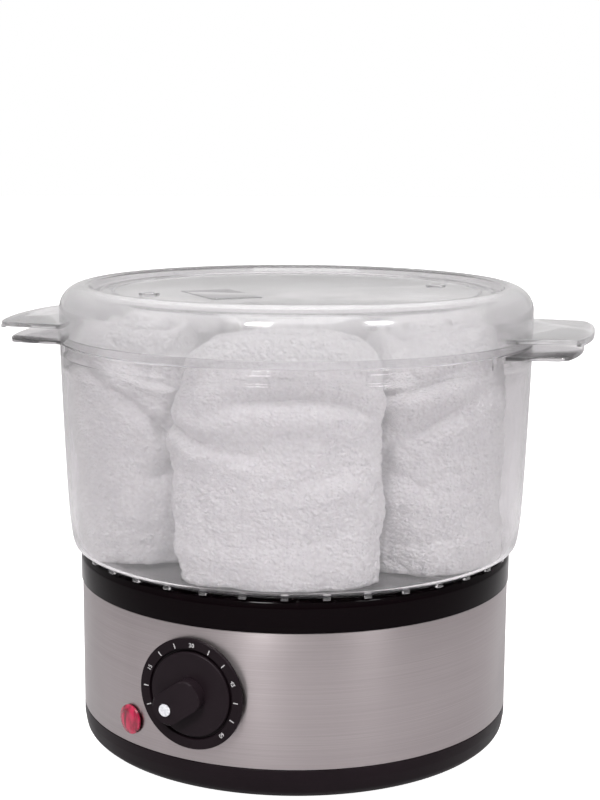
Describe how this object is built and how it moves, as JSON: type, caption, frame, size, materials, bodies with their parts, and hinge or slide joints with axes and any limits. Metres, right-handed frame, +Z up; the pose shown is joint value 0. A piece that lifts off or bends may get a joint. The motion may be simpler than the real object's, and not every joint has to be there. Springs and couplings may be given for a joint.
{
  "type": "towel steamer",
  "caption": "Compact tabletop steamer for rolled face towels: round steel and black plastic base with timer knob and pilot lamp, clear bowl with tab grips, clear lid",
  "frame": {"origin": "on the vertical axis of the base, at the level the rubber feet stand on", "axes": "+Z up; -Y is the front, where the timer knob faces; X runs left to right, along the two pairs of grips to within about 13 degrees"},
  "size_m": [0.268, 0.2144, 0.2068],
  "materials": {
    "black_satin_plastic": "satin moulded, black",
    "black_gloss_plastic": "glossy moulded, black",
    "brushed_steel": "brushed round the base",
    "zinc_plated_steel": "zinc plated",
    "heater_aluminium": "cast, plain",
    "clear_plastic": "clear moulded polystyrene or SAN",
    "red_lens": "translucent red",
    "white_mark": "white insert",
    "grey_rubber": "matt",
    "white_silicone": "matt",
    "brown_phenolic": "moulded phenolic",
    "natural_nylon": "natural nylon",
    "white_terry": "white cotton terry"
  },
  "bodies": {
    "base": {"bottom_cover": "black_satin_plastic", "rubber_foot_1": "grey_rubber", "rubber_foot_2": "grey_rubber", "rubber_foot_3": "grey_rubber", "rubber_foot_4": "grey_rubber", "cover_screw_1": "zinc_plated_steel", "cover_screw_2": "zinc_plated_steel", "cover_screw_3": "zinc_plated_steel", "cover_screw_4": "zinc_plated_steel", "pillar_1": "natural_nylon", "pillar_2": "natural_nylon", "pillar_3": "natural_nylon", "pillar_4": "natural_nylon", "steel_band": "brushed_steel", "gloss_rim": "black_gloss_plastic", "water_basin": "black_gloss_plastic", "heater_plate": "heater_aluminium", "heater_gasket": "white_silicone", "heater_clamp": "zinc_plated_steel", "thermostat": "brown_phenolic", "thermal_fuse": "natural_nylon", "terminal_block": "natural_nylon", "timer_body": "brown_phenolic", "timer_bracket": "zinc_plated_steel", "timer_screw_1": "zinc_plated_steel", "timer_screw_2": "zinc_plated_steel", "dial_plate": "black_satin_plastic", "lamp_lens": "red_lens", "lamp_nut": "black_satin_plastic", "neon_lamp": "natural_nylon", "cord_gland": "black_satin_plastic", "gland_clip": "natural_nylon"},
    "knob": {"knob": "black_satin_plastic", "pointer_dot": "white_mark", "timer_shaft": "zinc_plated_steel"},
    "bowl": {"bowl": "clear_plastic"},
    "lid": {"lid": "clear_plastic"},
    "towels": {"towel_1": "white_terry", "towel_2": "white_terry", "towel_3": "white_terry", "towel_4": "white_terry", "towel_5": "white_terry", "towel_6": "white_terry"}
  },
  "joints": [
    {"name": "knob_turn", "type": "hinge", "parent": "base", "child": "knob", "pos_m": [0, -0.1, 0.0441], "axis": [0, 1, 0], "range_deg": [0, 270]},
    {"name": "bowl_lift", "type": "slide", "parent": "base", "child": "bowl", "axis": [0, 0, 1], "range_m": [0, 0.06]},
    {"name": "lid_lift", "type": "slide", "parent": "bowl", "child": "lid", "axis": [0, 0, 1], "range_m": [0, 0.17]},
    {"name": "towels_lift", "type": "slide", "parent": "bowl", "child": "towels", "axis": [0, 0, 1], "range_m": [0, 0.102]}
  ],
  "couplings": [
    {"joint": "towels_lift", "follows": "lid_lift", "ratio": 0.6}
  ]
}
